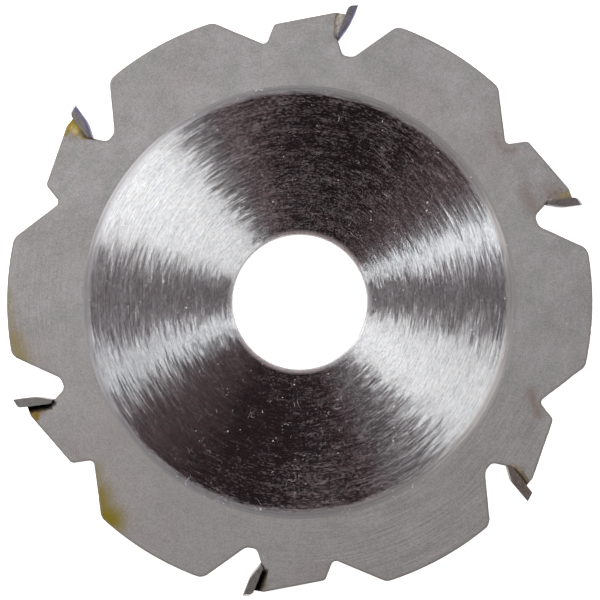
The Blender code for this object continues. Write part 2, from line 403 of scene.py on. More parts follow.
def lines_and_specks(g, density, size, seed, share=0.18):
    """Masks of scattered dust specks and of a few hair-thin curved scratches."""
    shifted = g.vec("ADD", g.p, (seed, seed * 1.7, 0.0))
    warped = g.vec("ADD", shifted, g.vec("SCALE", g.join(
        g.noise(shifted, 1.3), g.noise(g.vec("ADD", shifted, (9, 4, 2)), 1.3), 0.0), scale=0.9))
    distance, colour = g.cells(warped, density, dimensions="2D")
    pick, size_pick, _ = g.split(colour)
    chosen = g.math("GREATER_THAN", pick, 1.0 - share)
    radius = g.blend(size_pick, size * 0.35, size)
    speck = g.mul(g.math("LESS_THAN", g.mul(distance, 1.0 / density), radius), chosen)
    field = g.noise(g.vec("ADD", shifted, (31, 7, 0)), 0.22, 1.0, 0.4, 1.2)
    line = g.ramp(g.math("ABSOLUTE", g.add(field, -0.5)), 0.0038, 0.0010)
    gate = g.ramp(g.noise(g.vec("ADD", shifted, (3, 55, 0)), 0.55, 1.0), 0.57, 0.62)
    return speck, g.mul(line, gate)


# -------------------------------------------------------------------- materials
def brushed_hub():
    """The hub's face, brushed in circles about the bore. The finish turns matt
    over the last millimetre of the land and along the bore's broken edge."""
    g = Nodes("hub_brushed_steel")
    patch = g.noise(g.ring(6.0, 0.9), 1.0, 2.0, 0.6)
    long_streak = g.noise(g.ring(6.5, 4.6, 20.0), 1.0, 1.0, 0.5)
    short_streak = g.noise(g.ring(19.0, 4.6, 60.0), 1.0, 1.0, 0.5)
    streak = g.add(g.mul(long_streak, 0.45), g.mul(short_streak, 0.55))
    grain = g.noise(g.ring(52.0, 4.0, 40.0), 1.0, 1.5, 0.6)
    wander = g.add(g.mul(g.noise(g.ring(7.5, 2.9, 97.0), 1.0, 1.0, 0.5), 0.55),
                   g.mul(g.noise(g.ring(9.0, 4.2, 141.0), 1.0, 1.0, 0.5), 0.55))
    haze = g.noise(g.vec("ADD", g.p, (33, 60, 0)), 0.10, 2.0, 0.55)
    cloud = g.noise(g.p, 0.55, 3.0, 0.6)
    blotch = g.noise(g.vec("ADD", g.p, (50, 20, 0)), 1.3, 3.0, 0.65)

    body = g.add(g.add(g.mul(patch, 0.21), g.mul(streak, 0.35)), g.mul(grain, 0.44))
    light = g.add(g.ramp(streak, 0.32, 0.68, 0.72, 1.26, smooth=False), g.ramp(grain, 0.3, 0.7, -0.14, 0.14, smooth=False))
    light = g.add(light, g.ramp(patch, 0.3, 0.7, -0.05, 0.05))
    tone = g.mix(g.ramp(cloud, 0.35, 0.65), (0.692, 0.714, 0.728), (0.704, 0.716, 0.718))
    # painted reflection tone: the top and bottom of the hub lie dark between the highlight fans, and pink
    # blotches are painted only there
    unlit_between_fans = g.ramp(g.math("ABSOLUTE", g.math("MULTIPLY_ADD", g.dy, 0.99, g.mul(g.dx, 0.30))), 0.69, 0.87)
    tone = g.mix(g.mul(g.ramp(blotch, 0.40, 0.64, 0.35, 1.0), unlit_between_fans), tone, (0.776, 0.612, 0.626))
    towards = g.math("MULTIPLY_ADD", g.dy, -0.095, g.math("MULTIPLY_ADD", g.dx, 0.009, 0.065))
    colour = g.tint(tone, g.mul(light, g.add(towards, 1.0)))

    # where the face is rubbed rather than brushed
    fray = g.mul(g.add(streak, -0.5), 1.1)
    off_centre = g.vec("LENGTH", g.vec("SUBTRACT", g.join(g.x, g.y, 0.0), (-0.22, 0.06, 0.0)))
    shoulder = g.ramp(g.add(off_centre, fray), 34.05, 35.15)
    rubbed = g.ramp(g.add(off_centre, g.mul(fray, 0.3)), 35.42, 35.80)
    lip = g.ramp(g.add(g.r, g.mul(fray, 0.4)), BORE_RADIUS + 1.05, BORE_RADIUS + 0.25)
    colour = g.mix(shoulder, colour, g.mix(g.ramp(g.dx, -0.3, 0.6), (0.510, 0.520, 0.535), (0.520, 0.505, 0.492)))
    colour = g.mix(rubbed, colour, (0.365, 0.357, 0.355))
    faint_line = g.mul(g.ramp(g.math("ABSOLUTE", g.add(off_centre, -35.20)), 0.26, 0.05), 0.42)
    colour = g.mix(faint_line, colour, (0.36, 0.325, 0.315))

    speck, scratch = lines_and_specks(g, 0.55, 0.135, 13.0, 0.15)
    dust, hairs = lines_and_specks(g, 1.1, 0.105, 77.0, 0.07)
    marks = g.math("MAXIMUM", speck, g.mul(scratch, 0.75))
    marks = g.math("MAXIMUM", marks, g.math("MAXIMUM", g.mul(dust, 0.6), g.mul(hairs, 0.5)))
    colour = g.mix(marks, colour, (0.86, 0.85, 0.83))

    swing = g.add(g.mul(g.add(wander, -0.55), g.ramp(g.dx, -1.0, 1.0, 0.50, 0.60)), g.mul(g.add(short_streak, -0.5), 0.08))
    outward = g.ramp(g.r, 12.5, 26.0)
    lopsided = g.math("MULTIPLY_ADD", g.dy, 0.064, g.add(
        g.blend(outward, -0.032, -0.033), g.mul(g.dx, g.blend(outward, -0.070, -0.032))))
    swing = g.add(swing, lopsided)
    around = g.join(g.mul(g.dy, -1.0), g.dx, 0.0)
    tangent = g.vec("NORMALIZE", g.vec("ADD", g.out_dir, g.vec("SCALE", around, scale=swing)))

    rough = g.add(g.ramp(streak, 0.3, 0.7, 0.38, 0.34), g.mul(marks, 0.3))
    rough = g.add(rough, g.add(g.mul(shoulder, 0.09), g.mul(rubbed, 0.22)))
    metallic = g.add(g.ramp(body, 0.44, 0.62, 1.0, 0.87), g.ramp(haze, 0.3, 0.7, 0.022, -0.022))
    # the same painted dark zones get a little less metallic, which lifts their grey
    metallic = g.add(metallic, g.mul(unlit_between_fans, g.ramp(g.dy, 0.6, -0.6, 0.015, 0.048)))
    lower_left = g.math("MULTIPLY_ADD", g.dy, -0.545, g.mul(g.dx, -0.839))
    metallic = g.add(metallic, g.ramp(lower_left, 0.80, 0.97, 0.0, 0.058))
    for x, y, reach, drop in ((4.5, -33.0, 13.0, 0.085), (17.5, -28.0, 8.0, 0.08), (29.0, -10.5, 8.0, 0.03),
                              (-5.0, -18.0, 11.0, -0.035)):
        away = g.vec("LENGTH", g.vec("SUBTRACT", g.join(g.x, g.y, 0.0), (x, y, 0.0)))
        metallic = g.add(metallic, g.ramp(away, reach, 0.0, 0.0, -drop))
    metallic = g.blend(shoulder, metallic, g.ramp(grain, 0.3, 0.7, 0.55, 0.49))
    metallic = g.blend(rubbed, metallic, 0.30)
    metallic = g.blend(g.mul(lip, 0.9), metallic, 0.52)
    metallic = g.add(metallic, g.mul(marks, -0.6))
    grooves = g.add(g.noise(g.ring(14.0, 7.0, 7.0), 1.0, 2.0, 0.6), g.mul(grain, 0.5))
    g.set(Base_Color=colour, Roughness=rough, Metallic=metallic, Tangent=tangent,
          Normal=g.bump(g.add(grooves, g.mul(marks, 0.6)), 0.006, 0.35))
    g.shader.inputs["Anisotropic"].default_value = 1.0
    return g.mat


def tooth_point(index, x, y):
    """World (x, y) in mm of a point given in one tooth's frame."""
    return Matrix.Rotation(tooth_rotation(index), 2) @ Vector((x, y))


def beside_tip(index, s, t):
    """World (x, y) in mm of the point s down the rake and t behind it at one tip."""
    return Matrix.Rotation(tooth_rotation(index), 2) @ tip_point(s, t)


def seen(red, green, blue, lit):
    """The base colour that shows as this 8-bit screen colour where the light makes
    a base of 1 show as lit."""
    return tuple(((c / 255 + 0.055) / 1.055) ** 2.4 / lit for c in (red, green, blue))


def blasted_rim():
    g = Nodes("rim_blasted_steel")
    grain = g.noise(g.p, 4.8, 3.0, 0.7)
    pits = g.noise(g.vec("ADD", g.p, (17, 5, 3)), 7.5, 1.0, 0.5)
    mottle = g.noise(g.vec("ADD", g.p, (2, 31, 3)), 0.32, 4.0, 0.62)
    cloud = g.noise(g.vec("ADD", g.p, (70, 11, 3)), 0.07, 2.0, 0.5)
    turned = g.noise(g.ring(5.0, 4.4, 11.0), 1.0, 3.0, 0.6)

    base = g.mix(g.ramp(mottle, 0.36, 0.64), (0.390, 0.394, 0.385), (0.444, 0.431, 0.434))
    base = g.mix(g.mul(g.ramp(cloud, 0.42, 0.66), 0.55), base, (0.432, 0.404, 0.392))
    base = g.tint(base, g.ramp(g.noise(g.vec("ADD", g.p, (5, 44, 3)), 0.13, 2.0, 0.6), 0.32, 0.68, 0.955, 1.045))
    # faint turned lines, clearest on the lower right of the rim
    turned_mask = g.add(g.spot(22.0, -40.0, 24.0, 16.0), g.mul(g.spot(-44.0, 0.0, 10.0, 9.0), 0.6))
    turned_mask = g.add(g.mul(turned_mask, 0.9), 0.22)
    shade = g.add(g.ramp(grain, 0.25, 0.75, 0.74, 1.26, smooth=False),
                  g.mul(turned_mask, g.ramp(turned, 0.3, 0.7, -0.12, 0.12)))
    shade = g.add(shade, g.ramp(pits, 0.62, 0.80, 0.0, -0.12))
    shade = g.add(shade, g.ramp(g.noise(g.vec("ADD", g.p, (9, 9, 60)), 0.9, 2.0, 0.6), 0.3, 0.7, -0.02, 0.02))
    colour = g.tint(g.mix(g.mul(g.ramp(g.dy, -0.1, -0.9), 0.6), base, (0.402, 0.388, 0.374)), shade)

    # heat tint and braze stains near some teeth
    wobble = g.mul(g.add(g.noise(g.vec("ADD", g.p, (8, 8, 8)), 0.6, 3.0, 0.6), -0.5), 3.4)
    small = g.mul(g.add(g.noise(g.vec("ADD", g.p, (4, 9, 1)), 1.6, 3.0, 0.6), -0.5), 1.6)
    heat = None
    for a, b, half_width, soft, amount in (
            ((-32.1, -35.4), (-31.4, -36.0), 2.30, 2.10, 0.99), ((-32.1, -35.0), (-33.0, -31.6), 1.4, 2.2, 0.96),
            ((-33.0, -31.6), (-33.8, -27.6), 0.8, 1.7, 0.62), ((-47.6, -5.8), (-46.0, -9.6), 1.3, 1.9, 0.68),
            ((-47.6, -5.8), (-48.3, 1.5), 0.5, 1.5, 0.50)):
        m = g.mul(g.stroke(Vector(a), Vector(b), half_width, soft, g.mul(small, 0.5)), amount)
        heat = m if heat is None else g.math("MAXIMUM", heat, m)
    colour = g.mix(heat, colour, (0.292, 0.225, 0.016))
    brown = g.spot(41.2, 18.4, 0.8, 2.4, wobble, (1.3, 1.0), 20)
    for a, b, half_width, soft, amount in (
            ((32.4, 28.0), (32.9, 26.1), 0.25, 0.9, 0.9), ((32.9, 26.1), (34.0, 25.0), 0.1, 0.8, 0.7),
            ((34.0, 25.0), (35.5, 25.1), 0.3, 0.9, 1.0), ((37.3, 18.0), (38.8, 15.5), 0.9, 1.9, 1.0),
            ((38.2, -15.0), (39.4, -18.5), 0.6, 1.4, 1.3), ((38.6, -19.2), (37.3, -21.8), 0.2, 1.4, 0.5)):
        m = g.mul(g.stroke(Vector(a), Vector(b), half_width, soft, g.mul(small, 0.5)), amount)
        brown = g.math("MAXIMUM", brown, m)
    brown = g.math("MAXIMUM", brown, g.mul(g.spot(6.0, -46.0, 1.5, 4.5, wobble, (2.2, 0.7), 0), 0.5))
    brown = g.math("MAXIMUM", brown, g.mul(g.spot(-37.0, -24.5, 0.6, 2.0, wobble, (1.8, 0.8), 120), 0.4))
    colour = g.mix(g.mul(brown, 0.55), colour, (0.235, 0.165, 0.120))

    # straw colour right behind the tips
    near_tips = None
    for index, (px, py, radius, amount) in enumerate((
            (-2.4, 46.2, 0.9, 0.30), (-2.9, 46.6, 0.3, 0.35), (-3.0, 46.2, 0.9, 0.45),
            (-2.6, 46.0, 0.5, 0.45), (-2.7, 46.9, 0.4, 0.45), (-2.6, 45.6, 0.5, 0.45))):
        c = tooth_point(index, px, py)
        m = g.mul(g.spot(c.x, c.y, radius, 0.9, small), amount)
        near_tips = m if near_tips is None else g.math("MAXIMUM", near_tips, m)
    colour = g.mix(near_tips, colour, (0.200, 0.150, 0.035))

    c = beside_tip(3, 3.1, 3.15)
    mustard = g.spot(c.x, c.y, 0.82, 0.26, g.mul(small, 0.30), (1.25, 1.0), 70)
    c = beside_tip(3, 4.15, 2.85)
    faint = g.spot(c.x, c.y, 0.22, 0.55, g.mul(small, 0.3), (1.5, 0.8), 22)
    colour = g.mix(g.math("MAXIMUM", g.mul(mustard, 0.95), g.mul(faint, 0.6)), colour, (0.290, 0.195, 0.010))
    # an olive stain beside the fifth tip, darkened also as the soft edge of its shadow: partly painted shade
    c = beside_tip(4, 3.5, 2.75)
    olive_stain_and_shade = g.spot(c.x, c.y, 0.30, 0.55, g.mul(small, 0.3), (2.2, 1.0), 70)
    colour = g.mix(g.mul(olive_stain_and_shade, 0.6), colour, (0.190, 0.160, 0.080))
    yellow = g.stroke(beside_tip(2, 2.42, 2.1), beside_tip(2, 3.55, 4.05), 0.28, 0.16, g.mul(small, 0.2))
    colour = g.mix(g.mul(yellow, 0.85), colour, (0.330, 0.255, 0.030))
    for x, y, radius in ((42.3, 18.05, 0.30), (43.1, 18.7, 0.22), (41.5, 17.7, 0.18)):
        blot = g.spot(x, y, radius, 0.28, g.mul(small, 0.3))
        colour = g.mix(g.mul(blot, 0.6), colour, (0.200, 0.145, 0.130))

    # painted shadow: the black cast shadows of two tips along their backs and feet, and a painted shadow line
    # round another's foot
    ripple = g.mul(small, 0.045)
    painted_tip_shadow = g.stroke(beside_tip(3, 1.2, 1.80), beside_tip(3, 5.85, 1.66), 0.46, 0.20, ripple)
    painted_tip_shadow = g.math("MAXIMUM", painted_tip_shadow, g.stroke(
        beside_tip(3, 5.85, 1.60), beside_tip(3, 6.32, 1.30), 0.34, 0.16, ripple))
    painted_tip_shadow = g.math("MAXIMUM", painted_tip_shadow, g.stroke(
        beside_tip(4, 1.2, 1.80), beside_tip(4, 5.55, 1.72), 0.44, 0.18, ripple))
    painted_tip_shadow = g.math("MAXIMUM", painted_tip_shadow, g.mul(g.stroke(
        beside_tip(2, 6.78, 0.62), beside_tip(2, 6.22, 1.42), 0.15, 0.10, ripple), 0.93))
    colour = g.mix(painted_tip_shadow, colour, (0.0012, 0.0008, 0.0008))
    # painted shade with a brown tint: the soft outer edge of those two tips' shadows
    shadow_edge_painted = g.math("MAXIMUM", g.stroke(beside_tip(3, 3.7, 2.50), beside_tip(3, 4.8, 2.34), 0.16, 0.48, ripple),
                  g.stroke(beside_tip(4, 1.9, 2.58), beside_tip(4, 4.5, 2.46), 0.12, 0.42, ripple))
    colour = g.mix(g.mul(shadow_edge_painted, g.blend(painted_tip_shadow, 0.66, 0.0)), colour, (0.105, 0.085, 0.055))

    wear = g.tree.nodes.new("ShaderNodeAttribute")
    wear.attribute_name = "edge"
    edge = g.mul(wear.outputs["Fac"], g.ramp(mottle, 0.35, 0.6, 0.25, 0.75))
    colour = g.mix(edge, colour, (0.270, 0.235, 0.205))

    speck, scratch = lines_and_specks(g, 0.42, 0.10, 41.0, 0.06)
    dust, _ = lines_and_specks(g, 1.1, 0.075, 23.0, 0.03)
    marks = g.math("MAXIMUM", g.math("MAXIMUM", speck, g.mul(scratch, 0.35)), g.mul(dust, 0.45))
    colour = g.mix(g.mul(marks, 0.55), colour, (0.80, 0.79, 0.78))

    height = g.add(grain, g.add(g.mul(pits, 0.7), g.mul(turned_mask, g.mul(turned, 0.5))))
    # the painted tip shadows are made fully metallic, so they show no shine and stay black
    g.set(Base_Color=colour, Roughness=g.ramp(grain, 0.3, 0.7, 0.74, 0.66),
          Metallic=g.blend(painted_tip_shadow, 0.60, 1.0),
          Normal=g.bump(height, 0.010, 0.5))
    return g.mat


def cut_edge():
    """The plate's outline wall: upright striations from the cutting beam."""
    g = Nodes("cut_edge_steel")
    stria = g.noise(g.join(g.mul(g.x, 5.0), g.mul(g.y, 5.0), g.mul(g.z, 0.5)), 1.0, 3.0, 0.6)
    drag = g.noise(g.join(g.mul(g.x, 1.2), g.mul(g.y, 1.2), g.mul(g.z, 2.2)), 1.0, 2.0, 0.5)
    oxide = g.noise(g.vec("ADD", g.p, (6, 2, 9)), 0.35, 3.0, 0.6)
    colour = g.mix(g.ramp(oxide, 0.4, 0.65), (0.33, 0.32, 0.315), (0.27, 0.235, 0.205))
    colour = g.tint(colour, g.ramp(stria, 0.3, 0.7, 0.75, 1.2))
    g.set(Base_Color=colour, Roughness=g.ramp(drag, 0.3, 0.7, 0.38, 0.55), Metallic=0.9,
          Normal=g.bump(g.add(stria, g.mul(drag, 0.6)), 0.035, 0.7))
    return g.mat


def bore_wall():
    """The bored arbor hole and its chamfers: fine turned rings."""
    g = Nodes("bore_turned_steel")
    rings = g.noise(g.join(g.mul(g.dx, 3.0), g.mul(g.dy, 3.0), g.mul(g.z, 9.0)), 1.0, 3.0, 0.6)
    spots = g.noise(g.p, 1.6, 3.0, 0.6)
    colour = g.tint((0.56, 0.545, 0.53), g.add(g.ramp(rings, 0.3, 0.7, 0.8, 1.15),
                                              g.ramp(spots, 0.55, 0.75, 0.0, -0.2)))
    g.set(Base_Color=colour, Roughness=g.ramp(rings, 0.3, 0.7, 0.26, 0.40), Metallic=0.97,
          Normal=g.bump(rings, 0.010, 0.5))
    return g.mat


def ground_carbide(index):
    """Diamond-ground carbide. The wheel's marks run up the tip's side faces, and
    some tips carry a violet heat tint on the rake face and along its edge."""
    g = Nodes(f"carbide_ground_{index + 1}")
    turn = Matrix.Rotation(tooth_rotation(index), 2)
    origin, down, into = turn @ EDGE, turn @ DOWN_RAKE, turn @ INTO_TIP
    rel = g.vec("SUBTRACT", g.join(g.x, g.y, 0.0), (origin.x, origin.y, 0.0))
    s = g.vec("DOT_PRODUCT", rel, (down.x, down.y, 0.0))
    t = g.vec("DOT_PRODUCT", rel, (into.x, into.y, 0.0))
    shift = index * 9.0
    marks = g.noise(g.join(g.add(g.mul(t, 4.6), shift), g.mul(s, 0.9), g.mul(g.z, 4.0)), 1.0, 2.0, 0.6)
    cross = g.noise(g.join(g.add(g.mul(t, 1.6), shift), g.mul(s, 4.6), g.mul(g.z, 2.0)), 1.0, 2.0, 0.6)
    grain = g.noise(g.vec("ADD", g.p, (index * 7.0, 3, 1)), 7.0, 2.0, 0.6)
    broad = g.noise(g.vec("ADD", g.p, (index * 5.0, 8, 2)), 0.9, 2.0, 0.5)
    # the first number makes each tip's colour lighter or darker by how it catches the lights: painted light and
    # shade, one level per tip
    painted_light_level, tint, contrast, violet, reach = (
        (0.89, (1.05, 0.94, 0.92), 0.17, 0.05, (0.2, 0.5)),
        (0.93, (1.02, 0.96, 1.03), 0.16, 1.0, (0.26, 0.74)),
        (1.16, (1.01, 0.99, 0.94), 0.15, 1.0, (0.16, 0.56)),
        (1.36, (1.03, 1.00, 0.95), 0.13, 0.05, (0.2, 0.5)),
        (1.16, (1.04, 0.98, 0.91), 0.17, 0.05, (0.2, 0.5)),
        (0.89, (1.10, 0.93, 0.82), 0.22, 0.05, (0.2, 0.5)),
    )[index]
    base = tuple(0.30 * painted_light_level * c for c in tint)
    shade = g.add(g.ramp(marks, 0.3, 0.7, 1 - contrast, 1 + contrast),
                  g.ramp(cross, 0.3, 0.7, -0.8 * contrast, 0.8 * contrast))
    shade = g.add(shade, g.ramp(broad, 0.35, 0.65, -0.06, 0.06))
    colour = g.tint(base, g.add(shade, g.ramp(grain, 0.3, 0.7, -0.09, 0.09)))
    # the tint fades back from the rake face's edge, which bends back at the knee
    edge = g.math("MAXIMUM", g.mul(g.add(s, -TIP_KNEE), 0.305), 0.0)
    behind = g.add(g.math("SUBTRACT", t, edge), g.mul(g.add(marks, -0.5), 0.25))
    violet_tone = (0.282, 0.264, 0.425) if index == 1 else (0.300, 0.290, 0.450)
    colour = g.mix(g.mul(g.ramp(behind, reach[1], reach[0]), violet), colour,
                   g.tint(violet_tone, shade))
    normal = g.tree.nodes.new("ShaderNodeNewGeometry").outputs["True Normal"]
    lead = tooth_rotation(index)
    facing = g.vec("DOT_PRODUCT", normal, (math.cos(lead), math.sin(lead), 0.0))
    colour = g.mix(g.mul(g.ramp(facing, 0.55, 0.85), violet), colour, (0.105, 0.098, 0.175))
    g.set(Base_Color=colour, Roughness=g.ramp(marks, 0.3, 0.7, 0.50, 0.40), Metallic=0.72,
          Normal=g.bump(g.add(marks, g.mul(cross, 0.5)), 0.008, 0.5))
    return g.mat


# screen colours of each bead from the tip outwards, high up the tip and at its
# foot, and how brightly the light strikes the bead
BEAD_TONES = (
    (((96, 84, 76), (106, 94, 78), (122, 110, 85), (130, 118, 90), (136, 125, 102), (128, 120, 107)),
     ((88, 76, 70), (98, 88, 82), (122, 112, 105), (110, 101, 94), (124, 116, 109), (130, 122, 116)), 0.82),
    (((112, 107, 101), (122, 118, 110), (158, 154, 144), (164, 157, 147), (120, 109, 90), (126, 118, 104)),
     ((96, 92, 94), (114, 111, 109), (122, 118, 112), (134, 128, 121), (128, 120, 111), (142, 135, 130)), 1.05),
    (((120, 108, 76), (122, 108, 30), (156, 142, 72), (176, 163, 130), (160, 145, 96), (142, 127, 62)),
     ((98, 87, 83), (80, 68, 48), (110, 98, 66), (134, 121, 88), (154, 141, 116), (152, 144, 131)), 0.72),
    # fourth and fifth beads: the near-black stops are painted shadow, the tip's cast shadow on the bead
    (((3, 2, 2), (3, 2, 2), (4, 2, 2), (20, 12, 9), (70, 58, 38), (98, 85, 58)),
     ((3, 2, 2), (3, 2, 2), (4, 2, 2), (22, 17, 15), (72, 66, 58), (118, 110, 100)), 0.70),
    (((3, 2, 2), (3, 2, 2), (4, 2, 2), (12, 7, 6), (68, 60, 50), (96, 88, 76)),
     ((60, 50, 46), (90, 80, 74), (130, 120, 116), (120, 110, 104), (110, 102, 96), (126, 118, 112)), 0.70),
    (((82, 71, 58), (66, 56, 43), (74, 65, 50), (86, 77, 62), (84, 76, 62), (112, 103, 91)),
     ((68, 57, 47), (66, 55, 43), (96, 86, 72), (98, 89, 76), (104, 96, 84), (122, 115, 105)), 0.54),
)


def braze_metal(index):
    """Brazing alloy, dull where flux and heat have stained it. Each bead has its own
    bands of colour from the tip outwards, and pales into the plate. On the fourth and
    fifth beads the bands nearest the tip are painted shadow of the tip."""
    g = Nodes(f"braze_alloy_{index + 1}")
    p = g.vec("ADD", g.p, (index * 13.0, 5, 0))
    lump = g.noise(p, 1.3, 2.0, 0.6, 0.5)
    fine = g.noise(p, 3.8, 3.0, 0.65)
    grain = g.noise(p, 9.0, 1.0, 0.5)
    across, along = (g.tree.nodes.new("ShaderNodeAttribute") for _ in range(2))
    across.attribute_name, along.attribute_name = "across", "along"
    place = g.add(across.outputs["Fac"], g.mul(g.add(lump, -0.5), 0.18 if index == 2 else 0.30))
    high, low, lit = BEAD_TONES[index]
    at = (0.0, 0.15, 0.38, 0.62, 0.86, 1.0)
    head = g.stops(place, [(x, seen(*c, lit)) for x, c in zip(at, high)])
    foot = g.stops(place, [(x, seen(*c, lit)) for x, c in zip(at, low)])
    drop = g.add(along.outputs["Fac"], g.mul(g.add(fine, -0.5), 0.35))
    low_from = {0: 0.40, 4: 0.86}.get(index, 0.48)
    colour = g.mix(g.ramp(drop, low_from, low_from + 0.2), head, foot)
    if index == 2:      # yellow flux along the tooth's outline
        yellow = g.stroke(beside_tip(2, 2.42, 2.1), beside_tip(2, 3.50, 4.0), 0.30, 0.16,
                          g.mul(g.add(lump, -0.5), 0.5))
        yellow = g.math("MAXIMUM", yellow, g.mul(g.stroke(
            beside_tip(2, 2.6, 1.9), beside_tip(2, 3.3, 2.25), 0.16, 0.16), 0.8))
        colour = g.mix(g.mul(yellow, 0.92), colour, seen(142, 124, 34, lit))
    shade = g.add(g.ramp(fine, 0.3, 0.7, 0.87, 1.13), g.ramp(grain, 0.3, 0.7, -0.10, 0.10))
    colour = g.tint(colour, shade)
    dark = 0.0 if index in (3, 4) else 0.28
    colour = g.mix(g.mul(g.ramp(fine, 0.60, 0.72), dark), colour, (0.10, 0.07, 0.04))
    g.set(Base_Color=colour, Roughness=g.ramp(fine, 0.3, 0.7, 0.55, 0.72),
          Metallic=g.ramp(grain, 0.3, 0.7, 0.35, 0.45) if index not in (3, 4) else 0.0,
          Normal=g.bump(g.add(fine, g.mul(lump, 1.5)), 0.03, 0.35))
    if index in (3, 4):     # painted shadow of the tip on these two beads: no metal and no shine, so it stays black
        g.shader.inputs["Specular IOR Level"].default_value = 0.0
    return g.mat


# ----------------------------------------------------------------------- pieces
def finish_mesh(name, bm, materials, smooth_angle=30):
    bmesh.ops.recalc_face_normals(bm, faces=bm.faces[:])
    if bm.calc_volume(signed=True) < 0:     # it can turn a thin, lumpy mesh inside out
        bmesh.ops.reverse_faces(bm, faces=bm.faces[:])
    mesh = bpy.data.meshes.new(name)
    bm.to_mesh(mesh)
    bm.free()
    for m in materials:
        mesh.materials.append(m)
    mesh.shade_smooth()
    mesh.set_sharp_from_angle(angle=math.radians(smooth_angle))
    obj = bpy.data.objects.new(name, mesh)
    bpy.context.scene.collection.objects.link(obj)
    return obj


def build_plate():
    """Plate with rounded outline edges, raised hub land, transition ring and bore."""
    RIM, HUB, WALL, BORE = range(4)
    bm = bmesh.new()
    edge = bm.verts.layers.float.new("edge")
    outline = plate_outline()
    top = RIM_THICKNESS / 2
    b = EDGE_ROUND

    def ring(points, z, worn):
        made = []
        for p in points:
            v = bm.verts.new((p.x * MM, p.y * MM, z * MM))
            v[edge] = worn
            made.append(v)
        return made

    def skin(lower, upper, slot):
        n = len(lower)
        for i in range(n):
            j = (i + 1) % n
            f = bm.faces.new((lower[i], lower[j], upper[j], upper[i]))
            f.material_index = slot

    # outline: from the inner edge of the lower face, round the wall, to the top
    steps = [(0.45, 0.0, 0.0)]
    for a in (90, 60, 30, 0):
        steps.append((b * (1 - math.cos(math.radians(a))), b * (1 - math.sin(math.radians(a))), 1.0))
    rings = []
    for off, drop, worn in steps:
        rings.append(ring(inset(outline, off), -top + drop, worn))
    for off, drop, worn in reversed(steps):
        rings.append(ring(inset(outline, off), top - drop, worn))
    for i, (lo, hi) in enumerate(zip(rings, rings[1:])):
        slot = WALL if i == 4 else RIM
        skin(lo, hi, slot)

    # hub: rings turned about the axis, from the rim's face up over the land
    segments = 360
    half = HUB_THICKNESS / 2
    c = BORE_CHAMFER
    fall = HUB_LAND_RADIUS - BRUSHED_RADIUS
    profile = [
        (HUB_LAND_RADIUS + 0.12, top), (HUB_LAND_RADIUS, top + 0.003),
        (HUB_LAND_RADIUS - 0.15 * fall, top + 0.011), (HUB_LAND_RADIUS - 0.5 * fall, half - 0.012),
        (HUB_LAND_RADIUS - 0.85 * fall, half - 0.002), (BRUSHED_RADIUS, half),
        (BORE_RADIUS + c + 0.16, half), (BORE_RADIUS + c + 0.06, half - 0.006),
        (BORE_RADIUS + c, half - 0.024), (BORE_RADIUS + 0.02, half - c - 0.004),
        (BORE_RADIUS, half - c - 0.034),
    ]
    slots = [HUB] * 8 + [BORE] * 2

    def circle(radius, z):
        return ring([direction(360 * i / segments) * radius for i in range(segments)], z, 0.0)

    def skin_hub(outer, inner, slot):
        for i in range(segments):
            j = (i + 1) % segments
            f = bm.faces.new((outer[i], outer[j], inner[j], inner[i]))
            f.material_index = slot

    upper = [circle(r, z) for r, z in profile]
    lower = [circle(r, -z) for r, z in profile]
    for i in range(len(profile) - 1):
        skin_hub(upper[i], upper[i + 1], slots[i])
        skin_hub(lower[i + 1], lower[i], slots[i])
    skin_hub(upper[-1], lower[-1], BORE)

    # the rim's two flat faces, between the outline and the hub
    for outer, inner in ((rings[-1], upper[0]), (rings[0], lower[0])):
        loops = []
        for loop in (outer, inner):
            n = len(loop)
            for i in range(n):
                e = bm.edges.get((loop[i], loop[(i + 1) % n]))
                loops.append(e)
        before = set(bm.faces)
        bmesh.ops.triangle_fill(bm, use_beauty=True, use_dissolve=False, edges=loops)
        for f in set(bm.faces) - before:
            f.material_index = RIM
    return finish_mesh("plate", bm, [blasted_rim(), brushed_hub(), cut_edge(), bore_wall()], 28)


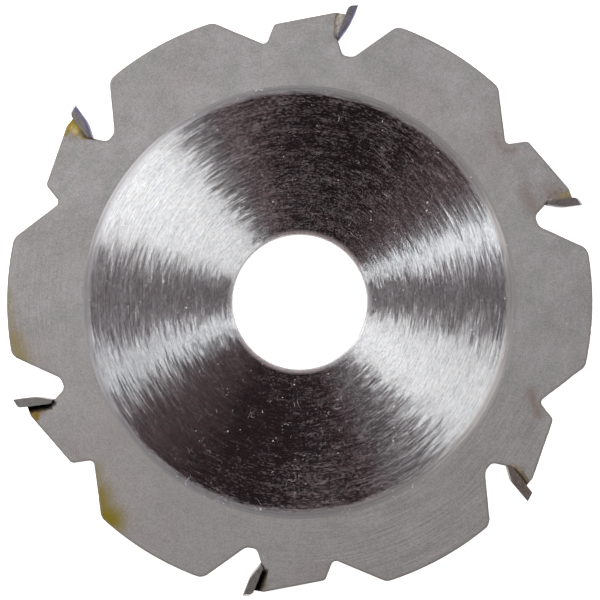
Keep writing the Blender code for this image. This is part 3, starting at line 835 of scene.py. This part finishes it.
def build_tip(index):
    """A carbide tip: bevelled top, hooked rake face relieved below the knee. Two of
    them have a wider flat ground along the rake face's upper edge."""
    high = 1 if index % 2 else -1
    half = TIP_KERF / 2
    fall = TIP_BEVEL_FALL / TIP_KERF
    a, b, c = TIP_SIDE_SLOPE_S, TIP_SIDE_SLOPE_T, TIP_TOP_SLOPE
    soft = (0.9, 1.1, 0.8, 0.9, 0.35, 0.15)[index]     # how rounded the knee is
    cut = (0.42, 0.44, 0.39, 0.34, 0.33, 0.04)[index]  # the top's worn rear corner
    # how far the rake edge sits back at the top and at the knee, and where it ends
    front_top = (0.05, -0.03, -0.20, -0.07, 0.00, 0.00)[index]
    front_knee = (0.05, 0.07, -0.12, -0.05, 0.00, -0.14)[index]
    knee_at = (3.85, 3.45, 3.80, 3.72, 3.88, 4.12)[index]
    root_at = (6.25, 6.28, 6.50, 6.50, 6.48, 6.50)[index]
    flat = (0.0, 0.42, 0.42, 0.0, 0.0, 0.0)[index]

    def top(t, side):
        if side == high:
            return (c + fall * b) * t / (1 - fall * a)
        return (c * t + fall * (2 * half - b * t)) / (1 + fall * a)

    knee = []
    for i in range(7):
        f = i / 6
        slope = TIP_ROOT_SETBACK / (root_at - knee_at)
        p0, p1, p2 = Vector((knee_at + soft, slope * soft)), Vector((knee_at, 0.0)), Vector((knee_at - soft, 0.0))
        knee.append(p0 * (1 - f) ** 2 + p1 * 2 * f * (1 - f) + p2 * f * f)
    rear = TIP_THICKNESS + (0.08 if index == 5 else 0.0)

    def contour(side, back=0.0):
        """(s, t) round one side face; back moves the rake edge into the tip."""
        lead = front_top + back
        points = [(top(max(0.0, lead), side), lead), (top(rear - cut * 0.8, side), rear - cut * 0.8),
                  (top(rear, side) + cut * 0.9, rear),
                  (TIP_BACK_LENGTH, rear), (TIP_BACK_LENGTH + 0.28, rear - 0.05),
                  (TIP_BACK_LENGTH + 0.50, rear - 0.18),
                  (root_at - 0.12 * back, TIP_ROOT_SETBACK + 0.4 * back)]
        return points + [(p.x, p.y + front_knee * min(1.0, (root_at - p.x) / 2) + back) for p in knee]

    bm = bmesh.new()

    def loop(points, side, sink):
        made = []
        for i, (s, t) in enumerate(points):
            p = tip_point(s, t)
            z = side * (half - a * s - b * max(0.0, t)) - sink * (1.0 if i == 0 or i > 6 else 0.15)
            made.append(bm.verts.new((p.x * MM, p.y * MM, z * MM)))
        return made

    loops = [loop(contour(-1), -1, 0.0), loop(contour(1), 1, 0.115 if flat else 0.0)]
    if flat:
        inner = []
        for i, (s, t) in enumerate(contour(1, flat)):
            at_front = i == 0 or i > 6
            inner.append((s, t) if at_front else (s + (0.018 if i in (1, 2) else -0.012), t - 0.015))
        loops.append(loop(inner, 1, 0.0))
    bm.faces.new(loops[0])
    bm.faces.new(loops[-1])
    n = len(loops[0])
    for lower, upper in zip(loops, loops[1:]):
        for i in range(n):
            j = (i + 1) % n
            bm.faces.new((lower[i], lower[j], upper[j], upper[i]))
    bmesh.ops.recalc_face_normals(bm, faces=bm.faces[:])
    sharp = [e for e in bm.edges if e.calc_face_angle(0.0) > math.radians(40 if flat else 22)
             and e.calc_length() > 0.1 * MM]
    bmesh.ops.bevel(bm, geom=sharp, offset=(0.02 if flat else 0.035) * MM, segments=2, affect="EDGES",
                    profile=0.5, clamp_overlap=True)
    bmesh.ops.transform(bm, matrix=Matrix.Rotation(tooth_rotation(index), 4, "Z"), verts=bm.verts[:])
    return finish_mesh(f"tip_{index + 1}", bm, [ground_carbide(index)], 14)


# width along the plate and height up the tip of each bead, in mm, at the tooth's
# top, middle and root
BEADS = (
    (1.35, 1.10, 0.75, 0.36), (1.66, 1.10, 0.38, 0.34), (1.85, 1.60, 0.95, 0.36),
    (1.18, 1.15, 0.98, 0.11), (1.30, 1.28, 0.98, 0.11), (1.02, 1.10, 0.66, 0.10),
)


def build_bead(index, side):
    """The braze that squeezed out behind a tip, on one face of the plate: a lumpy
    concave fillet from the plate's face up the tip's back."""
    top_w, mid_w, root_w, rise = BEADS[index]
    plate = RIM_THICKNESS / 2
    rows, cols = 34, 14
    seed = index * 17.3 + (5.0 if side < 0 else 0.0)
    seat_head = seat_line(0.0)
    # the first row sits at the land, where the tooth's outline cuts the bead off
    s_top = (meet(seat_head[1], (seat_head[0] - seat_head[1]).normalized(),
                  Vector((0, LAND_Y - 0.03)), Vector((1, 0))) - EDGE).dot(DOWN_RAKE)
    s_root = TIP_BACK_LENGTH + 0.55

    def width(f):
        w = top_w + (mid_w - top_w) * min(1, f * 2) if f < 0.5 else \
            mid_w + (root_w - mid_w) * (f - 0.5) * 2
        return w * (1 + 0.14 * noise.noise(Vector((f * 4.5, seed, 1.0))))

    def on_plate(p):
        """Keeps a point from hanging over the tooth's land."""
        limit = LAND_Y - 0.04
        slope = math.tan(math.radians(BACK_SLOPE_ANGLE))
        if p.x < LAND_END_X:
            limit -= (LAND_END_X - p.x) * slope + 0.05
        return Vector((p.x, min(p.y, limit)))

    bm = bmesh.new()
    place = bm.verts.layers.float.new("across")
    drop = bm.verts.layers.float.new("along")
    grid_up, grid_down = [], []
    for i in range(rows + 1):
        f = i / rows
        s = s_top + (s_root - s_top) * f
        w = width(f)
        up_row, down_row = [], []
        for j in range(cols + 1):
            e = j / cols
            t = TIP_THICKNESS - 0.10 + (w + 0.10) * e
            sink = max(0.0, f - 0.86) / 0.14
            q = on_plate(tip_point(s - 0.18 * math.sin(math.pi * e) * f, t - 0.7 * sink * (1 - e)))
            h = rise * (1 - e) ** 1.7 * (1 - 0.55 * sink)
            if index == 5:      # a ridge standing clear of the tip
                h = 0.02 + 0.17 * math.exp(-((e - 0.55) / 0.17) ** 2) * (1 - 0.55 * sink)
            lump = noise.noise(Vector((q.x * 1.7, q.y * 1.7, seed))) * 0.12
            lump += noise.noise(Vector((q.x * 4.2, q.y * 4.2, seed + 4))) * 0.04
            lump *= math.sin(math.pi * min(1, e * 0.92 + 0.08)) ** 0.6 * min(1, f * 8, (1 - f) * 8 + 0.15)
            lump *= 0.45 if index == 2 else 1.0
            h = max(0.0, h + lump * (0.2 + 1.6 * rise)) + 0.015 * (1 - e)
            h = min(h, 0.56)
            if j == cols or i in (0, rows) and e > 0.6:
                h = min(h, 0.0)
            up_row.append(bm.verts.new((q.x * MM, q.y * MM, side * (plate + h) * MM)))
            down_row.append(bm.verts.new((q.x * MM, q.y * MM, side * (plate - 0.06) * MM)))
            up_row[-1][place] = down_row[-1][place] = e
            up_row[-1][drop] = down_row[-1][drop] = f
        grid_up.append(up_row)
        grid_down.append(down_row)
    for i in range(rows):
        for j in range(cols):
            bm.faces.new((grid_up[i][j], grid_up[i][j + 1], grid_up[i + 1][j + 1], grid_up[i + 1][j]))
            bm.faces.new((grid_down[i][j], grid_down[i + 1][j], grid_down[i + 1][j + 1], grid_down[i][j + 1]))
    border = ([(0, j) for j in range(cols)] + [(i, cols) for i in range(rows)]
              + [(rows, j) for j in range(cols, 0, -1)] + [(i, 0) for i in range(rows, 0, -1)])
    for k, (i, j) in enumerate(border):
        m, n = border[(k + 1) % len(border)]
        bm.faces.new((grid_up[i][j], grid_up[m][n], grid_down[m][n], grid_down[i][j]))
    bmesh.ops.transform(bm, matrix=Matrix.Rotation(tooth_rotation(index), 4, "Z"), verts=bm.verts[:])
    return bm


def main():
    plate = build_plate()
    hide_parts("disc_body")
    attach(plate, "root")

    for index in range(TOOTH_COUNT):
        tip = build_tip(index)
        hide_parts(f"carbide_tip_{index + 1}")
        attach(tip, "root")

        braze = braze_metal(index)
        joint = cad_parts[f"braze_joint_{index + 1}"]
        joint.data.materials.clear()
        joint.data.materials.append(braze)
        for side, word in ((1, "upper"), (-1, "lower")):
            bead = finish_mesh(f"braze_bead_{index + 1}_{word}", build_bead(index, side), [braze], 50)
            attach(bead, "root")


# ------------------------------------------------------------- stage and lights
def build_stage():
    scene = bpy.context.scene
    bm = bmesh.new()
    bmesh.ops.create_circle(bm, cap_ends=True, segments=96, radius=3.0)
    mesh = bpy.data.meshes.new("floor")
    bm.to_mesh(mesh)
    bm.free()
    floor = bpy.data.objects.new("floor", mesh)
    floor.location.z = -(TIP_KERF / 2 + 0.02) * MM
    scene.collection.objects.link(floor)
    mat = bpy.data.materials.new("studio_floor")
    mat.use_nodes = True
    tree = mat.node_tree
    shader = tree.nodes["Principled BSDF"]
    shader.inputs["Base Color"].default_value = (0.86, 0.86, 0.86, 1)
    shader.inputs["Roughness"].default_value = 0.9
    shader.inputs["Specular IOR Level"].default_value = 0.2
    shader.inputs["Emission Color"].default_value = (1, 1, 1, 1)
    shader.inputs["Emission Strength"].default_value = 1.0
    # seen from underneath, the floor is clear, so the disc's lower face shows; it
    # is also clear where the hub hides it, or its glow would bleach that face
    clear = tree.nodes.new("ShaderNodeBsdfTransparent")
    mixer = tree.nodes.new("ShaderNodeMixShader")
    geometry = tree.nodes.new("ShaderNodeNewGeometry")
    reach = tree.nodes.new("ShaderNodeVectorMath")
    reach.operation = "LENGTH"
    off = tree.nodes.new("ShaderNodeMath")
    off.operation, off.inputs[1].default_value, off.inputs[2].default_value = "COMPARE", 24.1 * MM, 11.9 * MM
    either = tree.nodes.new("ShaderNodeMath")
    either.operation = "MAXIMUM"
    tree.links.new(geometry.outputs["Position"], reach.inputs[0])
    tree.links.new(reach.outputs["Value"], off.inputs[0])
    tree.links.new(geometry.outputs["Backfacing"], either.inputs[0])
    tree.links.new(off.outputs[0], either.inputs[1])
    tree.links.new(either.outputs[0], mixer.inputs[0])
    tree.links.new(shader.outputs[0], mixer.inputs[1])
    tree.links.new(clear.outputs[0], mixer.inputs[2])
    tree.links.new(mixer.outputs[0], tree.nodes["Material Output"].inputs["Surface"])
    mesh.materials.append(mat)


def area_light(name, azimuth, elevation, distance, width, height, power, colour=(1, 1, 1)):
    data = bpy.data.lights.new(name, "AREA")
    data.shape = "RECTANGLE"
    data.size, data.size_y = width, height
    data.energy = power
    data.color = colour
    light = bpy.data.objects.new(name, data)
    a, e = math.radians(azimuth), math.radians(elevation)
    back = Vector((math.cos(a) * math.cos(e), math.sin(a) * math.cos(e), math.sin(e)))
    light.location = back * distance
    light.rotation_mode = "QUATERNION"
    light.rotation_quaternion = (-back).to_track_quat("-Z", "Y")
    light.visible_camera = False
    bpy.context.scene.collection.objects.link(light)
    return light


def build_lights():
    world = bpy.data.worlds.new("studio")
    bpy.context.scene.world = world
    world.use_nodes = True
    tree = world.node_tree
    tree.nodes.clear()
    out = tree.nodes.new("ShaderNodeOutputWorld")
    # what the object sees: a nearly dark room with a pale band at the horizon, and
    # from underneath a pale ground that darkens straight below
    coords = tree.nodes.new("ShaderNodeTexCoord")
    split = tree.nodes.new("ShaderNodeSeparateXYZ")
    band = tree.nodes.new("ShaderNodeMapRange")
    band.interpolation_type = "SMOOTHSTEP"
    for key, v in (("From Min", 0.20), ("From Max", 0.03), ("To Min", 0.0), ("To Max", 1.0)):
        band.inputs[key].default_value = v
    shade = tree.nodes.new("ShaderNodeMix")
    shade.data_type = "RGBA"
    shade.inputs[6].default_value = (0.016, 0.0105, 0.0120, 1)
    shade.inputs[7].default_value = (0.92, 0.94, 0.95, 1)
    tree.links.new(coords.outputs["Generated"], split.inputs[0])
    tree.links.new(split.outputs["Z"], band.inputs["Value"])
    below = tree.nodes.new("ShaderNodeMapRange")
    below.interpolation_type = "SMOOTHSTEP"
    for key, v in (("From Min", -0.30), ("From Max", -0.97), ("To Min", 1.0), ("To Max", 0.22)):
        below.inputs[key].default_value = v
    tree.links.new(split.outputs["Z"], below.inputs["Value"])
    both = tree.nodes.new("ShaderNodeMath")
    both.operation = "MULTIPLY"
    tree.links.new(band.outputs[0], both.inputs[0])
    tree.links.new(below.outputs[0], both.inputs[1])
    tree.links.new(both.outputs[0], shade.inputs[0])
    dim = tree.nodes.new("ShaderNodeBackground")
    tree.links.new(shade.outputs[2], dim.inputs["Color"])
    pale = tree.nodes.new("ShaderNodeBackground")
    pale.inputs["Color"].default_value = (1, 1, 1, 1)
    pale.inputs["Strength"].default_value = 0.93
    path = tree.nodes.new("ShaderNodeLightPath")
    mixer = tree.nodes.new("ShaderNodeMixShader")
    tree.links.new(path.outputs["Is Camera Ray"], mixer.inputs[0])
    tree.links.new(dim.outputs[0], mixer.inputs[1])
    tree.links.new(pale.outputs[0], mixer.inputs[2])
    tree.links.new(mixer.outputs[0], out.inputs["Surface"])

    area_light("key_softbox", 146.0, 32, 0.9, 0.49, 0.14, 8.1)
    area_light("strip_softbox", 18.0, 32, 0.9, 0.123, 0.49, 2.6, (0.97, 0.98, 1.0))
    area_light("key_spill", 150.0, 30, 0.95, 1.7, 0.46, 3.0, (1.0, 0.80, 0.85))
    area_light("strip_spill", 22.0, 30, 0.95, 0.9, 0.46, 0.7, (1.0, 0.80, 0.85))


def build_camera():
    """Looking straight down on the disc's face, a little above its centre."""
    data = bpy.data.cameras.new("camera")
    data.sensor_width = 36.0
    data.lens = 128.0
    camera = bpy.data.objects.new("camera", data)
    camera.location = (0.05 * MM, 0.36 * MM, 354 * MM)
    data.clip_start = 0.01
    bpy.context.scene.collection.objects.link(camera)
    bpy.context.scene.camera = camera


main()
build_stage()
build_lights()
build_camera()
bpy.context.scene.view_settings.view_transform = "Standard"
bpy.context.scene.view_settings.look = "None"
